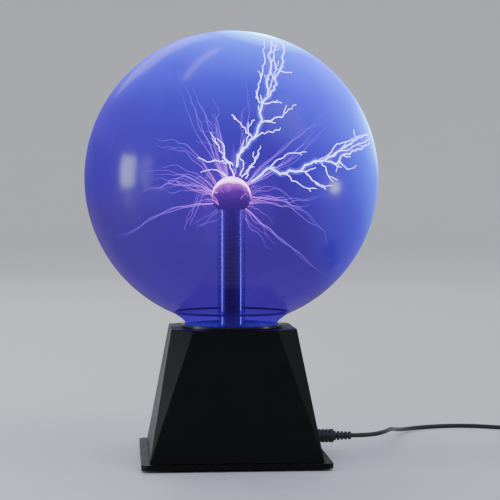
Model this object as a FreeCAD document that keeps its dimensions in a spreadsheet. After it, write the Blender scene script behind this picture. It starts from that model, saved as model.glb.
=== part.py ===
import FreeCAD, Part
import math
import os

# Plasma ball on a tapered square base, with its low-voltage lead and wall adapter.
# Millimetres. The origin is on the table at the middle of the base.
# +Z is up, -Y is the front and +X is the side that the lead plugs into.

DRIVING_SIZES = {
    "root_two": 1.41421356,
    # glass
    "globe_radius": 100.0,
    "globe_wall": 1.6,
    "globe_centre_z": 191.0,
    "neck_radius": 31.0,
    "neck_top_z": 91.0,
    "neck_low_z": 78.0,
    "flare_top_z": 99.0,
    "stem_radius": 9.4,
    "stem_wall": 1.2,
    "bulb_radius": 13.2,
    "bulb_wall": 1.0,
    "bulb_centre_z": 179.0,
    "stem_flare_width": 6.0,
    "stem_flare_height": 8.0,
    "tip_radius": 2.5,
    "tip_length": 10.0,
    "tip_point": 0.6,
    "tip_x": 20.0,
    # contact spring up the stem
    "spring_radius": 7.5,
    "spring_wire": 0.5,
    "spring_pitch": 3.1,
    "spring_low_z": 105.0,
    "spring_top_z": 171.0,
    "cup_radius": 7.8,
    "cup_thick": 1.5,
    "hub_radius": 2.2,
    "hub_height": 4.0,
    # housing
    "foot_half": 62.5,
    "foot_low_z": 1.5,
    "foot_top_z": 5.0,
    "foot_corner": 4.0,
    "low_half": 57.0,
    "top_half": 42.0,
    "top_flat": 28.0,
    "top_z": 90.0,
    "wall": 2.5,
    "neck_hole": 31.6,
    "collar_radius": 34.6,
    "collar_bore": 32.2,
    "collar_height": 1.8,
    "boss_at": 44.0,
    "boss_radius": 4.0,
    "boss_top_z": 60.0,
    "pilot_radius": 1.3,
    "pilot_depth": 14.0,
    "bead_low_step": 1.5,
    "bead_spread": 5.0,
    "bead_height": 4.0,
    # bottom cover
    "cover_half": 54.3,
    "cover_top_z": 4.0,
    "cover_hole": 1.6,
    "recess_gap": 0.3,
    "recess_depth": 1.6,
    "standoff_radius": 3.0,
    "standoff_root": 0.5,
    "standoff_pilot": 1.0,
    "standoff_pilot_low_z": 2.5,
    "drill_length": 5.0,
    "vent_width": 2.4,
    "vent_length": 34.0,
    "vent_pitch": 8.0,
    "vent_y": -2.0,
    "screw_radius": 1.25,
    "screw_length": 10.0,
    "screw_seat_z": 3.1,
    "screw_head": 2.6,
    "head_height": 1.5,
    "slot_length": 3.4,
    "slot_width": 0.7,
    "slot_depth": 0.6,
    "pad_radius": 6.0,
    "pad_stub": 2.0,
    "pad_x": 34.0,
    "pad_y": 46.0,
    # driver board
    "board_low_z": 5.5,
    "board_top_z": 7.1,
    "board_length": 84.0,
    "board_width": 60.0,
    "board_x": 8.0,
    "board_y": 2.0,
    "board_hole_x": 38.0,
    "board_hole_y": 26.0,
    "board_hole": 1.2,
    "board_screw_radius": 0.95,
    "board_screw_length": 4.4,
    # transformer
    "leg_radius": 5.0,
    "leg_left_x": -18.0,
    "leg_right_x": 8.0,
    "leg_y": 4.0,
    "core_thick": 6.0,
    "core_width": 12.0,
    "core_margin": 2.0,
    "core_top_z": 46.0,
    "bobbin_wall": 1.0,
    "bobbin_gap": 0.05,
    "bobbin_flange": 13.5,
    "flange_low_thick": 1.4,
    "flange_top_thick": 1.5,
    "winding_radius": 12.5,
    "primary_radius": 8.0,
    "primary_height": 14.0,
    "primary_lift": 4.0,
    "post_radius": 1.1,
    "post_height": 5.0,
    "post_reach": 10.0,
    # high-voltage lead
    "hv_radius": 1.3,
    "hv_first_rise": 11.0,
    "hv_second_rise": 30.0,
    # heat sink and transistor
    "sink_x": 31.5,
    "sink_y": -13.0,
    "sink_thick": 3.0,
    "sink_width": 26.0,
    "sink_height": 30.0,
    "fin_length": 8.5,
    "fin_thick": 1.4,
    "fin_pitch": 6.15,
    "fin_root": 0.5,
    "clamp_rise": 23.0,
    "clamp_hole": 1.45,
    "clamp_radius": 1.4,
    "clamp_head": 2.6,
    "clamp_head_height": 1.6,
    "package_x": 27.8,
    "package_thick": 4.4,
    "package_width": 10.0,
    "package_height": 14.0,
    "package_rise": 4.5,
    "tab_x": 29.35,
    "tab_thick": 1.3,
    "tab_height": 21.0,
    "pin_pitch": 2.54,
    # small components
    "can_groove_depth": 0.4,
    "can_groove_height": 0.8,
    "can_groove_rise": 1.8,
    "resistor_x": -26.0,
    "resistor_radius": 1.2,
    "resistor_length": 6.4,
    "resistor_wire": 0.7,
    "chip_x": -2.0,
    "chip_y": -20.0,
    "capsule_x": -22.0,
    "capsule_y": 25.0,
    "capsule_radius": 4.0,
    "capsule_height": 6.5,
    # low-voltage inlet and plug
    "jack_y": 10.0,
    "jack_z": 12.5,
    "jack_width": 9.0,
    "jack_height": 10.8,
    "jack_low_x": 39.5,
    "jack_face_x": 52.0,
    "jack_bore": 2.8,
    "jack_bore_low_x": 42.0,
    "jack_pin": 1.0,
    "plug_radius": 4.8,
    "plug_hole": 5.3,
    "plug_low_x": 52.3,
    "plug_top_x": 71.5,
    "sleeve_radius": 2.75,
    "sleeve_low_x": 43.6,
    "sleeve_top_x": 60.0,
    "plug_core": 2.1,
    "plug_bore": 1.05,
    "plug_cap": 2.0,
    "groove_pitch": 2.6,
    "groove_width": 1.1,
    "grip_groove_x": 62.4,
    "grip_groove_depth": 0.5,
    "relief_groove_x": 73.2,
    "relief_low": 3.5,
    "relief_high": 2.7,
    "relief_groove_bore": 2.1,
    "relief_top_x": 84.0,
    "cord_radius": 1.6,
    # rear rocker switch, in the switch's own frame
    "switch_z": 28.0,
    "bezel_half_x": 7.5,
    "bezel_half_z": 10.5,
    "bezel_depth": 1.8,
    "body_half_x": 6.4,
    "body_half_z": 9.4,
    "body_depth": 12.0,
    "pocket_half_x": 4.6,
    "pocket_half_z": 8.6,
    "pocket_depth": 10.5,
    "rocker_half_x": 4.5,
    "rocker_radius": 8.3,
    "rocker_back": 2.4,
    "rocker_dip": 1.5,
    "rocker_lip": 2.9,
    "hinge_radius": 1.2,
    "hinge_gap": 0.05,
    "hinge_reach": 1.0,
    "stub_half": 1.8,
    "stub_low": 5.0,
    "plunger_radius": 1.0,
    "plunger_low": 7.0,
    "bar_half_x": 2.4,
    "bar_half_z": 6.3,
    "bar_low": 8.9,
    "bar_top": 8.05,
    "knife_half": 0.6,
    "knife_depth": 0.2,
    "terminal_pitch": 6.5,
    "terminal_half": 0.4,
    "terminal_reach": 20.0,
    "eye_half": 0.6,
    "eye_low": 18.0,
    "eye_top": 16.0,
    "switch_wire": 0.8,
    # put-away lead and wall adapter
    "coil_x": 238.1,
    "coil_y": 80.9,
    "coil_inner": 12.7,
    "coil_outer": 22.3,
    "coil_height": 9.6,
    "tie_width": 5.0,
    "tie_thick": 0.8,
    "adapter_x": 252.4,
    "adapter_y": -4.0,
    "adapter_width": 42.0,
    "adapter_length": 66.0,
    "adapter_height": 27.0,
    "adapter_round": 3.0,
    "adapter_relief_z": 13.0,
    "adapter_relief_top_y": 52.0,
    "adapter_relief_low": 4.2,
    "adapter_relief_high": 2.6,
    "prong_thick": 1.5,
    "prong_width": 6.4,
    "prong_length": 16.0,
    "prong_half_gap": 6.35,
}

DERIVED_SIZES = {
    "slope": "(low_half - top_half) / (top_z - foot_top_z)",
    "roof_z": "top_z - wall",
    "roof_half": "top_half - wall + slope * wall",
    "corner_low": "low_half * root_two",
    "corner_top": "(top_half + top_flat) / root_two",
    "foot_trim": "foot_half * root_two - foot_corner / 2",
    "corner_slope": "(corner_low - corner_top) / (top_z - foot_top_z)",
    "corner_roof": "corner_top - wall + corner_slope * wall",
    "cavity_half": "low_half - wall",
    "flare_radius": "sqrt(globe_radius ^ 2 - (globe_centre_z - flare_top_z) ^ 2)",
    "flare_bore": "sqrt((globe_radius - globe_wall) ^ 2 - (globe_centre_z - flare_top_z) ^ 2)",
    "neck_bore": "neck_radius - globe_wall",
    "stem_bore": "stem_radius - stem_wall",
    "bulb_bore": "bulb_radius - bulb_wall",
    "stem_top_z": "bulb_centre_z - sqrt(bulb_radius ^ 2 - stem_radius ^ 2)",
    "winding_low_z": "board_top_z + core_thick + flange_low_thick",
    "winding_top_z": "core_top_z - core_thick - flange_top_thick",
    "core_split_z": "(board_top_z + core_top_z) / 2",
    "cup_top_z": "spring_low_z - spring_wire",
    "hub_low_z": "cup_top_z - cup_thick - hub_height",
}

# The lead's route from the plug to the put-away coil, then from the coil to the adapter.
LEAD_ROUTE = [
    (84.0, 10.0, 12.5), (98.5, 10.0, 12.5), (110.5, 19.8, 13.6), (118.0, 45.0, 11.7),
    (125.0, 73.0, 7.4), (135.0, 100.0, 3.0), (150.0, 120.0, 1.6), (171.0, 128.0, 1.6),
    (193.0, 128.0, 1.6), (213.0, 118.0, 1.6), (229.0, 107.0, 1.6), (246.0, 100.0, 1.6),
]
TAIL_ROUTE = [
    (252.4, 77.0, 10.9), (252.4, 69.0, 12.4), (252.4, 60.0, 13.0), (252.4, 52.0, 13.0),
]

# Small parts on the board. A capacitor is its x, y, radius and height.
CAPACITORS = ((22, 24, 5, 16), (34, 24, 4, 11), (-12, 26, 3.5, 11))
FILM_SIZE = ("14", "7", "13")
FILM_AT = ("15", "-21")
RESISTOR_ROWS = ("-23.5", "-19.5", "-15.5")
CHIP_SIZE = ("9.8", "6.4", "3.3")
CHIP_PIN_SIZE = ("0.6", "0.8", "3")
# Each switch terminal: its step along Z, the depth of its inner end, the reach of its wire.
TERMINALS = ((-1, "-9.7", 29.5), (0, "-8.75", 25.5), (1, "-9.7", 21.5))

CORNER_SIGNS = [(-1, -1), (1, -1), (1, 1), (-1, 1)]
VENT_STEPS = range(-3, 4)
UPRIGHT = FreeCAD.Rotation()
ALONG_X = FreeCAD.Rotation(FreeCAD.Vector(0, 1, 0), 90)
ALONG_Y = FreeCAD.Rotation(FreeCAD.Vector(1, 0, 0), -90)

doc = FreeCAD.newDocument("PlasmaBall")
sheet = doc.addObject("Spreadsheet::Sheet", "Sizes")
sub_parts = []


def fill_sheet():
    """Write one named row for every driving and derived size."""
    rows = list(DRIVING_SIZES.items()) + list(DERIVED_SIZES.items())
    for row, (name, value) in enumerate(rows, start=1):
        text = "=" + value if isinstance(value, str) else str(value)
        sheet.set("A%d" % row, name)
        sheet.set("B%d" % row, text)
        sheet.setAlias("B%d" % row, name)
    doc.recompute()


def size(name):
    """The number behind a sheet name, for shapes that no primitive gives."""
    value = sheet.get(name)
    return float(getattr(value, "Value", value))


def formula(text):
    """Turn 'top_z - wall' into 'Sizes.top_z - Sizes.wall'."""
    words = str(text).replace("(", " ( ").replace(")", " ) ").split()
    names = set(DRIVING_SIZES) | set(DERIVED_SIZES)
    return " ".join("Sizes." + word if word in names else word for word in words)


def make(kind, name, at, turn, **properties):
    """Add one primitive whose sizes and position are bound to the sheet."""
    shape = doc.addObject(kind, name)
    shape.Placement = FreeCAD.Placement(FreeCAD.Vector(), turn)
    for key, text in properties.items():
        shape.setExpression(key, formula(text))
    for axis, text in zip("xyz", at):
        shape.setExpression("Placement.Base." + axis, formula(text))
    return shape


def cylinder(name, radius, height, at=(0, 0, 0), turn=UPRIGHT):
    return make("Part::Cylinder", name, at, turn, Radius=radius, Height=height)


def cone(name, low, high, height, at=(0, 0, 0), turn=UPRIGHT):
    return make("Part::Cone", name, at, turn, Radius1=low, Radius2=high, Height=height)


def ball(name, radius, at=(0, 0, 0)):
    return make("Part::Sphere", name, at, UPRIGHT, Radius=radius)


def block(name, sides, centre=(0, 0), low="0"):
    """A box centred on X and Y that stands on the height 'low'."""
    length, width, height = sides
    at = (
        "%s - (%s) / 2" % (centre[0], length),
        "%s - (%s) / 2" % (centre[1], width),
        low,
    )
    return make("Part::Box", name, at, UPRIGHT, Length=length, Width=width, Height=height)


def frustum(name, low_half, high_half, low, height, quarter_turn):
    """A square frustum about +Z. quarter_turn is its angle about Z in degrees."""
    stand = FreeCAD.Rotation(FreeCAD.Vector(1, 0, 0), 90)
    turn = FreeCAD.Rotation(FreeCAD.Vector(0, 0, 1), quarter_turn).multiply(stand)
    low_min = "-1 * (%s)" % low_half
    high_min = "-1 * (%s)" % high_half
    return make(
        "Part::Wedge", name, (0, 0, low), turn,
        Xmin=low_min, Xmax=low_half, Zmin=low_min, Zmax=low_half,
        X2min=high_min, X2max=high_half, Z2min=high_min, Z2max=high_half,
        Ymin="0", Ymax=height,
    )


def cut(name, base, *tools):
    """base minus every tool."""
    result = doc.addObject("Part::Cut", name)
    result.Base = base
    result.Tool = tools[0] if len(tools) == 1 else fuse(name + "_tools", *tools)
    return result


def fuse(name, *shapes):
    result = doc.addObject("Part::MultiFuse", name)
    result.Shapes = list(shapes)
    return result


def common(name, *shapes):
    result = doc.addObject("Part::MultiCommon", name)
    result.Shapes = list(shapes)
    return result


def tube(name, outer, inner, height, at=(0, 0, 0), turn=UPRIGHT):
    """A plain ring or tube."""
    outside = cylinder(name + "_outside", outer, height, at, turn)
    inside = cylinder(name + "_inside", inner, height, at, turn)
    return cut(name + "_tube", outside, inside)


def sub_part(name, shape):
    """Register a finished solid under the name of its file."""
    shape.Label = name
    sub_parts.append(shape)
    return shape


def free_solid(name, solid):
    """A swept solid that no primitive or boolean gives."""
    feature = doc.addObject("Part::Feature", name)
    feature.Shape = solid
    feature.Placement = FreeCAD.Placement()
    return feature


def smooth_path(name, points, least_radius):
    """Straight runs joined by tangent arcs. Prints the tightest arc."""
    corners = [FreeCAD.Vector(*point) for point in points]
    edges = []
    radii = []
    start = corners[0]
    for before, corner, after in zip(corners, corners[1:], corners[2:]):
        way_in = (corner - before).normalize()
        way_out = (after - corner).normalize()
        turn = way_in.getAngle(way_out)
        setback = 0.45 * min((corner - before).Length, (after - corner).Length)
        radius = setback / math.tan(turn / 2)
        radii.append(radius)
        enter = corner - way_in * setback
        leave = corner + way_out * setback
        inward = (way_out - way_in).normalize()
        middle = corner + inward * (radius / math.cos(turn / 2) - radius)
        edges.append(Part.LineSegment(start, enter).toShape())
        edges.append(Part.Arc(enter, middle, leave).toShape())
        start = leave
    edges.append(Part.LineSegment(start, corners[-1]).toShape())
    print("%s: tightest radius %.1f mm, wanted %.1f" % (name, min(radii), least_radius))
    return Part.Wire(edges)


def swept_wire(name, points, radius, least_radius):
    """A round wire or cord along a smooth path, with its volume checked."""
    path = smooth_path(name, points, least_radius)
    start = FreeCAD.Vector(*points[0])
    way = FreeCAD.Vector(*points[1]) - start
    section = Part.Wire(Part.makeCircle(radius, start, way))
    solid = path.makePipeShell([section], True, False)
    expected = math.pi * radius ** 2 * path.Length
    print("%s: volume %.4f of section times length" % (name, solid.Volume / expected))
    return free_solid(name + "_solid", solid)


# Housing -----------------------------------------------------------------------------


def add_base_housing():
    square = frustum(
        "housing_square", "low_half", "top_half", "foot_top_z", "top_z - foot_top_z", 0)
    corners = frustum(
        "housing_corners", "corner_low", "corner_top", "foot_top_z", "top_z - foot_top_z", 45)
    tower = common("housing_tower", square, corners)
    foot = block(
        "housing_foot",
        ("2 * foot_half", "2 * foot_half", "foot_top_z - foot_low_z"), low="foot_low_z")
    foot_trim = frustum(
        "housing_foot_trim", "foot_trim", "foot_trim", "foot_low_z",
        "foot_top_z - foot_low_z", 45)
    foot_plate = common("housing_foot_plate", foot, foot_trim)
    outside = fuse("housing_outside", tower, foot_plate)

    inner_square = frustum(
        "cavity_square", "cavity_half", "roof_half", "foot_top_z", "roof_z - foot_top_z", 0)
    inner_corners = frustum(
        "cavity_corners", "corner_low - wall", "corner_roof", "foot_top_z",
        "roof_z - foot_top_z", 45)
    cavity = common("cavity_tower", inner_square, inner_corners)
    mouth = block("cavity_mouth", ("2 * cavity_half", "2 * cavity_half", "foot_top_z"))
    open_inside = fuse("cavity", cavity, mouth)
    bosses = [
        cylinder(
            "screw_boss_%d" % index, "boss_radius", "boss_top_z - cover_top_z",
            ("%d * boss_at" % sx, "%d * boss_at" % sy, "cover_top_z"))
        for index, (sx, sy) in enumerate(CORNER_SIGNS)
    ]
    hollow = cut("housing_hollow", open_inside, *bosses)
    pilots = [
        cylinder(
            "screw_pilot_%d" % index, "pilot_radius", "pilot_depth",
            ("%d * boss_at" % sx, "%d * boss_at" % sy, "0"))
        for index, (sx, sy) in enumerate(CORNER_SIGNS)
    ]
    neck_hole = cylinder("neck_hole", "neck_hole", "2 * wall", (0, 0, "roof_z - wall / 2"))
    plug_hole = cylinder(
        "plug_hole", "plug_hole", "10", ("jack_face_x - 2", "jack_y", "jack_z"), ALONG_X)
    switch_hole = block("switch_hole", ("2 * body_half_x + 0.2", "20", "2 * body_half_z + 0.2"),
                        low="-1 * body_half_z - 0.1")
    switch_cutout = fuse("switch_cutout", switch_hole, block("switch_hole_core", ("1", "1", "1")))
    place_in_wall(switch_cutout)
    housing = cut(
        "housing", outside, hollow, neck_hole, plug_hole, switch_cutout, *pilots)
    sub_part("base_housing", housing)


def add_bottom_cover():
    plate = block(
        "cover_plate", ("2 * cover_half", "2 * cover_half", "cover_top_z - foot_low_z"),
        low="foot_low_z")
    standoffs = []
    holes = []
    for index, (sx, sy) in enumerate(CORNER_SIGNS):
        board_at = (
            "board_x + %d * board_hole_x" % sx, "board_y + %d * board_hole_y" % sy)
        boss_at = ("%d * boss_at" % sx, "%d * boss_at" % sy)
        pad_at = ("%d * pad_x" % sx, "%d * pad_y" % sy)
        standoffs.append(cylinder(
            "standoff_%d" % index, "standoff_radius",
            "board_low_z - cover_top_z + standoff_root",
            board_at + ("cover_top_z - standoff_root",)))
        holes.append(cylinder(
            "standoff_pilot_%d" % index, "standoff_pilot", "drill_length",
            board_at + ("standoff_pilot_low_z",)))
        holes.append(cylinder(
            "cover_hole_%d" % index, "cover_hole", "drill_length", boss_at + ("0",)))
        holes.append(cylinder(
            "cover_recess_%d" % index, "screw_head + recess_gap", "recess_depth",
            boss_at + ("foot_low_z",)))
        holes.append(cylinder("pad_hole_%d" % index, "pad_stub", "drill_length", pad_at + ("0",)))
    for index, step in enumerate(VENT_STEPS):
        holes.append(block(
            "vent_%d" % index, ("vent_width", "vent_length", "drill_length"),
            centre=("%d * vent_pitch" % step, "vent_y")))
    cover = cut("cover", fuse("cover_solid", plate, *standoffs), *holes)
    sub_part("bottom_cover", cover)


def add_foot_pads():
    for index, (sx, sy) in enumerate(CORNER_SIGNS):
        at = ("%d * pad_x" % sx, "%d * pad_y" % sy)
        pad = cylinder("pad_disc_%d" % index, "pad_radius", "foot_low_z", at + ("0",))
        stub = cylinder("pad_stub_%d" % index, "pad_stub", "cover_top_z", at + ("0",))
        sub_part("rubber_foot_%d" % (index + 1), fuse("rubber_pad_%d" % index, pad, stub))


def pan_screw(name, at, head_z, up, shank_radius, shank_length):
    """A pan-head screw. 'up' is True when its head is above its shank."""
    head_low = head_z if up else "%s - head_height" % head_z
    shank_low = "%s - %s" % (head_z, shank_length) if up else head_z
    slot_low = "%s + head_height - slot_depth" % head_z if up else head_low
    head = cylinder(name + "_head", "screw_head", "head_height", at + (head_low,))
    shank = cylinder(name + "_shank", shank_radius, shank_length, at + (shank_low,))
    long_slot = block(
        name + "_slot_x", ("slot_length", "slot_width", "slot_depth"), at, slot_low)
    cross_slot = block(
        name + "_slot_y", ("slot_width", "slot_length", "slot_depth"), at, slot_low)
    return cut(name + "_cut", fuse(name + "_body", head, shank), long_slot, cross_slot)


def add_screws():
    board_screws = []
    for index, (sx, sy) in enumerate(CORNER_SIGNS):
        cover_at = ("%d * boss_at" % sx, "%d * boss_at" % sy)
        board_at = (
            "board_x + %d * board_hole_x" % sx, "board_y + %d * board_hole_y" % sy)
        name = "cover_screw_%d" % (index + 1)
        sub_part(name, pan_screw(
            name, cover_at, "screw_seat_z", False, "screw_radius", "screw_length"))
        board_screws.append(pan_screw(
            "board_screw_%d" % index, board_at, "board_top_z", True, "board_screw_radius",
            "board_screw_length"))
    sub_part("board_screws", fuse("board_screw_set", *board_screws))


def add_neck_parts():
    collar = tube("collar", "collar_radius", "collar_bore", "collar_height", (0, 0, "top_z"))
    sub_part("neck_collar", collar)
    bead_at = (0, 0, "roof_z - bead_height")
    bead = cone("bead_outside", "neck_radius + bead_low_step", "neck_radius + bead_spread",
                "bead_height", bead_at)
    bead_lip = cylinder("bead_lip", "neck_hole", "wall + bead_height", bead_at)
    bead_bore = cylinder("bead_bore", "neck_radius", "wall + bead_height", bead_at)
    sub_part("silicone_bead", cut("bead", fuse("bead_solid", bead, bead_lip), bead_bore))


# Glass -------------------------------------------------------------------------------


def add_glass_globe():
    outside = fuse(
        "globe_outside",
        ball("globe_ball", "globe_radius", (0, 0, "globe_centre_z")),
        cone("globe_flare", "neck_radius", "flare_radius", "flare_top_z - neck_top_z",
             (0, 0, "neck_top_z")),
        cylinder("globe_neck", "neck_radius", "neck_top_z - neck_low_z", (0, 0, "neck_low_z")))
    inside = fuse(
        "globe_inside",
        ball("globe_hollow", "globe_radius - globe_wall", (0, 0, "globe_centre_z")),
        cone("globe_flare_bore", "neck_bore", "flare_bore", "flare_top_z - neck_top_z",
             (0, 0, "neck_top_z")),
        cylinder("globe_neck_bore", "neck_bore", "neck_top_z - neck_low_z",
                 (0, 0, "neck_low_z")))
    sub_part("glass_globe", cut("globe", outside, inside))


def add_stem():
    disc = cylinder("stem_disc", "neck_bore", "globe_wall", (0, 0, "neck_low_z"))
    flare = cone("stem_flare", "stem_radius + stem_flare_width", "stem_radius",
                 "stem_flare_height", (0, 0, "neck_low_z + globe_wall"))
    outer = cylinder("stem_outer", "stem_radius", "stem_top_z - neck_low_z",
                     (0, 0, "neck_low_z"))
    bore = cylinder("stem_bore", "stem_bore", "stem_top_z - neck_low_z", (0, 0, "neck_low_z"))
    sub_part("stem_tube", cut("stem", fuse("stem_solid", disc, flare, outer), bore))
    shank = cylinder("tip_shank", "tip_radius", "tip_length / 2",
                     ("tip_x", 0, "neck_low_z - tip_length / 2"))
    point = cone("tip_cone", "tip_point", "tip_radius", "tip_length / 2",
                 ("tip_x", 0, "neck_low_z - tip_length"))
    sub_part("exhaust_tip", fuse("tip", shank, point))


def add_electrode():
    outside = ball("bulb_outside", "bulb_radius", (0, 0, "bulb_centre_z"))
    outside.Angle1 = -math.degrees(math.acos(size("stem_radius") / size("bulb_radius")))
    inside = ball("bulb_inside", "bulb_bore", (0, 0, "bulb_centre_z"))
    sub_part("electrode_bulb", cut("bulb", outside, inside))
    filling = ball("filling", "bulb_bore", (0, 0, "bulb_centre_z"))
    seat_drop = size("bulb_centre_z") - size("spring_top_z") - size("spring_wire")
    filling.Angle1 = -math.degrees(math.asin(seat_drop / size("bulb_bore")))
    sub_part("electrode_filling", filling)


def add_contact_spring():
    pitch = size("spring_pitch")
    radius = size("spring_radius")
    low = size("spring_low_z")
    helix = Part.makeHelix(pitch, size("spring_top_z") - low, radius)
    helix.translate(FreeCAD.Vector(0, 0, low))
    rise = FreeCAD.Vector(0, 2 * math.pi * radius, pitch)
    section = Part.Wire(
        Part.makeCircle(size("spring_wire"), FreeCAD.Vector(radius, 0, low), rise))
    solid = Part.Wire(helix.Edges).makePipeShell([section], True, True)
    sub_part("contact_spring", free_solid("spring_solid", solid))
    disc = cylinder("cup_disc", "cup_radius", "cup_thick", (0, 0, "cup_top_z - cup_thick"))
    hub = cylinder("cup_hub", "hub_radius", "hub_height", (0, 0, "hub_low_z"))
    sub_part("spring_cup", fuse("cup", disc, hub))


# Driver board ------------------------------------------------------------------------


def add_board():
    plate = block(
        "board_plate", ("board_length", "board_width", "board_top_z - board_low_z"),
        ("board_x", "board_y"), "board_low_z")
    holes = [
        cylinder(
            "board_hole_%d" % index, "board_hole", "drill_length",
            ("board_x + %d * board_hole_x" % sx, "board_y + %d * board_hole_y" % sy,
             "cover_top_z"))
        for index, (sx, sy) in enumerate(CORNER_SIGNS)
    ]
    sub_part("driver_board", cut("board", plate, *holes))


def add_transformer():
    span = "leg_right_x - leg_left_x + 2 * leg_radius + core_margin"
    middle = ("(leg_left_x + leg_right_x) / 2", "leg_y")
    legs = (("left", "leg_left_x"), ("right", "leg_right_x"))
    low_bar = block("core_low_bar", (span, "core_width", "core_thick"), middle, "board_top_z")
    low_legs = [
        cylinder("core_low_leg_" + side, "leg_radius", "core_split_z - board_top_z",
                 (x, "leg_y", "board_top_z"))
        for side, x in legs
    ]
    sub_part("ferrite_core_lower", fuse("core_lower", low_bar, *low_legs))
    top_bar = block(
        "core_top_bar", (span, "core_width", "core_thick"), middle, "core_top_z - core_thick")
    top_legs = [
        cylinder("core_top_leg_" + side, "leg_radius", "core_top_z - core_split_z",
                 (x, "leg_y", "core_split_z"))
        for side, x in legs
    ]
    sub_part("ferrite_core_upper", fuse("core_upper", top_bar, *top_legs))

    bobbin_low = "board_top_z + core_thick"
    bobbin_height = "core_top_z - board_top_z - 2 * core_thick"
    flange_low = cylinder("bobbin_flange_low", "bobbin_flange", "flange_low_thick",
                          ("leg_left_x", "leg_y", bobbin_low))
    flange_top = cylinder("bobbin_flange_top", "bobbin_flange", "flange_top_thick",
                          ("leg_left_x", "leg_y", "winding_top_z"))
    barrel = cylinder("bobbin_barrel", "leg_radius + bobbin_wall", bobbin_height,
                      ("leg_left_x", "leg_y", bobbin_low))
    post = cylinder("bobbin_post", "post_radius", "post_height",
                    ("leg_left_x", "leg_y - post_reach", "winding_top_z"))
    bore = cylinder("bobbin_bore", "leg_radius + bobbin_gap", bobbin_height,
                    ("leg_left_x", "leg_y", bobbin_low))
    bobbin = cut("bobbin", fuse("bobbin_solid", flange_low, flange_top, barrel, post), bore)
    sub_part("coil_bobbin", bobbin)
    winding = tube("hv_winding", "winding_radius", "leg_radius + bobbin_wall",
                   "winding_top_z - winding_low_z", ("leg_left_x", "leg_y", "winding_low_z"))
    sub_part("high_voltage_winding", winding)
    primary = tube("primary", "primary_radius", "leg_radius", "primary_height",
                   ("leg_right_x", "leg_y", "board_top_z + core_thick + primary_lift"))
    sub_part("primary_winding", primary)

    post_x = size("leg_left_x")
    post_y = size("leg_y") - size("post_reach")
    post_z = size("winding_top_z") + size("post_height")
    lead = [
        (post_x, post_y, post_z),
        (post_x, post_y, post_z + size("hv_first_rise")),
        (0, 0, post_z + size("hv_second_rise")),
        (0, 0, size("hub_low_z")),
    ]
    sub_part("high_voltage_lead", swept_wire("high_voltage_lead", lead, size("hv_radius"), 5))


def add_power_stage():
    sink_plate = block(
        "sink_plate", ("sink_thick", "sink_width", "sink_height"), ("sink_x", "sink_y"),
        "board_top_z")
    fin_x = "sink_x + sink_thick / 2 - fin_root + fin_length / 2"
    fins = [
        block("sink_fin_%d" % index, ("fin_length", "fin_thick", "sink_height"),
              (fin_x, "sink_y + %d * fin_pitch" % step), "board_top_z")
        for index, step in enumerate(range(-2, 3))
    ]
    clamp_z = "board_top_z + clamp_rise"
    sink_hole = cylinder("sink_hole", "clamp_hole", "drill_length",
                         ("tab_x - 0.35", "sink_y", clamp_z), ALONG_X)
    sub_part("heat_sink", cut("sink", fuse("sink_solid", sink_plate, *fins), sink_hole))

    package = block("transistor_package", ("package_thick", "package_width", "package_height"),
                    ("package_x", "sink_y"), "board_top_z + package_rise")
    tab = block("transistor_tab", ("tab_thick", "package_width", "tab_height"),
                ("tab_x", "sink_y"), "board_top_z + package_rise + 1")
    legs = [
        block("transistor_leg_%d" % index, ("0.6", "0.9", "package_rise + 0.5"),
              ("package_x + 0.4", "sink_y + %d * pin_pitch" % step), "board_top_z")
        for index, step in enumerate((-1, 0, 1))
    ]
    tab_hole = cylinder("tab_hole", "clamp_hole", "drill_length",
                        ("package_x + 0.2", "sink_y", clamp_z), ALONG_X)
    sub_part("power_transistor",
             cut("transistor", fuse("transistor_solid", package, tab, *legs), tab_hole))
    head = cylinder("clamp_head", "clamp_head", "clamp_head_height",
                    ("tab_x - tab_thick / 2 - clamp_head_height", "sink_y", clamp_z), ALONG_X)
    shank = cylinder("clamp_shank", "clamp_radius", "drill_length",
                     ("package_x + 0.2", "sink_y", clamp_z), ALONG_X)
    sub_part("transistor_screw", fuse("clamp_screw", head, shank))


def add_capacitors():
    for index, (x, y, radius, height) in enumerate(CAPACITORS):
        can = cylinder("can_%d" % index, radius, height, (x, y, "board_top_z"))
        groove = tube(
            "can_groove_%d" % index, radius, "%s - can_groove_depth" % radius,
            "can_groove_height", (x, y, "board_top_z + can_groove_rise"))
        sub_part("capacitor_%d" % (index + 1), cut("capacitor_body_%d" % index, can, groove))
    sub_part("film_capacitor", block("film", FILM_SIZE, FILM_AT, "board_top_z"))


def add_resistors():
    resistors = []
    for index, y in enumerate(RESISTOR_ROWS):
        body = cylinder(
            "resistor_body_%d" % index, "resistor_radius", "resistor_length",
            ("resistor_x", y, "board_top_z + resistor_radius"), ALONG_X)
        middle = "resistor_x + resistor_length / 2"
        reach = "(resistor_length + resistor_wire) / 2"
        ends = [
            block("resistor_end_%d_%d" % (index, side),
                  ("resistor_wire", "resistor_wire", "resistor_radius + 0.3"),
                  ("%s + %d * %s" % (middle, sign, reach), y), "board_top_z")
            for side, sign in enumerate((-1, 1))
        ]
        resistors.append(fuse("resistor_solid_%d" % index, body, *ends))
    sub_part("resistors", fuse("resistor_set", *resistors))


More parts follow.
